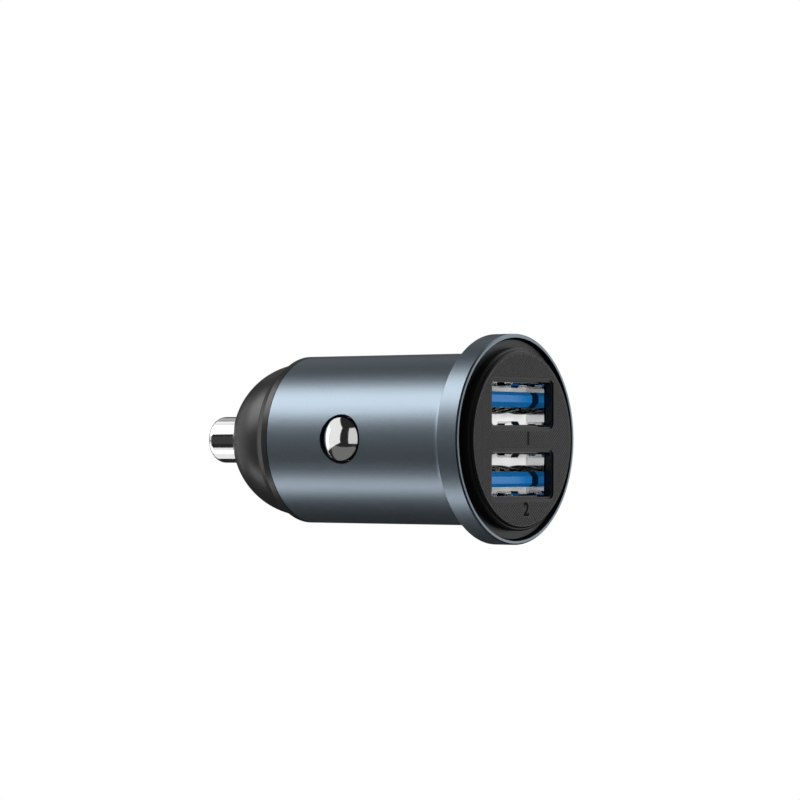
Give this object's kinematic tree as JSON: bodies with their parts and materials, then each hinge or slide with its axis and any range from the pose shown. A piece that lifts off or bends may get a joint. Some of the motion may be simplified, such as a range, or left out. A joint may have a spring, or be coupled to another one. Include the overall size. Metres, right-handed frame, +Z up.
{
  "type": "car usb charger plug",
  "caption": "Compact in-car power plug: flanged metal barrel with USB-A sockets stacked in its face, a sprung centre contact at the nose and sprung side contacts.",
  "frame": {"origin": "on the plug's axis, in the plane of the flange's back face, which meets the mouth of the vehicle's power socket", "axes": "+X along the axis out of the face, -X along the barrel to the nose, +Z up from the lower USB socket to the upper one, Y across the sockets' width"},
  "size_m": [0.0468, 0.0254, 0.0254],
  "materials": {
    "anodised_aluminium": "satin anodised, blue-grey",
    "face_plastic": "fine satin moulded, black",
    "nose_plastic": "satin moulded, black",
    "contact_nickel": "polished nickel plate",
    "shell_nickel": "bright nickel-plated sheet",
    "spring_steel": "drawn wire",
    "tinned_strip": "tinned sheet",
    "frame_plastic": "moulded, black",
    "board_green": "solder mask on glass-fibre board",
    "socket_plastic": "moulded, natural white",
    "tongue_plastic": "moulded, blue",
    "contact_plate": "plated contact strip",
    "component_black": "moulded epoxy",
    "inductor_grey": "pressed iron powder",
    "can_aluminium": "drawn aluminium can",
    "ceramic_tan": "fired ceramic with tinned ends"
  },
  "bodies": {
    "plug": {"housing": "anodised_aluminium", "faceplate": "face_plastic", "nose_cap": "nose_plastic", "centre_spring": "spring_steel", "positive_terminal": "tinned_strip", "left_side_spring": "spring_steel", "right_side_spring": "spring_steel", "left_ground_strap": "tinned_strip", "right_ground_strap": "tinned_strip", "upper_frame_half": "frame_plastic", "lower_frame_half": "frame_plastic", "main_board": "board_green", "upper_port_shell": "shell_nickel", "lower_port_shell": "shell_nickel", "upper_port_body": "socket_plastic", "lower_port_body": "socket_plastic", "upper_port_tongue": "tongue_plastic", "lower_port_tongue": "tongue_plastic", "power_inductor": "inductor_grey", "converter_chip": "component_black", "port_controller_chip": "component_black", "input_capacitor": "can_aluminium", "output_capacitors": "ceramic_tan", "upper_port_contact_1": "contact_plate", "upper_port_contact_2": "contact_plate", "upper_port_contact_3": "contact_plate", "upper_port_contact_4": "contact_plate", "lower_port_contact_1": "contact_plate", "lower_port_contact_2": "contact_plate", "lower_port_contact_3": "contact_plate", "lower_port_contact_4": "contact_plate"},
    "centre_pin": {"centre_contact": "contact_nickel"},
    "left_dome": {"left_side_contact": "contact_nickel"},
    "right_dome": {"right_side_contact": "contact_nickel"}
  },
  "joints": [
    {"name": "centre_contact_press", "type": "slide", "parent": "plug", "child": "centre_pin", "axis": [1, 0, 0], "range_m": [0, 0.0025], "stiffness_N_per_m": 1800, "deforming": ["centre_spring"]},
    {"name": "left_contact_press", "type": "slide", "parent": "plug", "child": "left_dome", "axis": [0, 1, 0], "range_m": [0, 0.0008], "stiffness_N_per_m": 2500, "deforming": ["left_side_spring"]},
    {"name": "right_contact_press", "type": "slide", "parent": "plug", "child": "right_dome", "axis": [0, -1, 0], "range_m": [0, 0.0008], "stiffness_N_per_m": 2500, "deforming": ["right_side_spring"]}
  ]
}
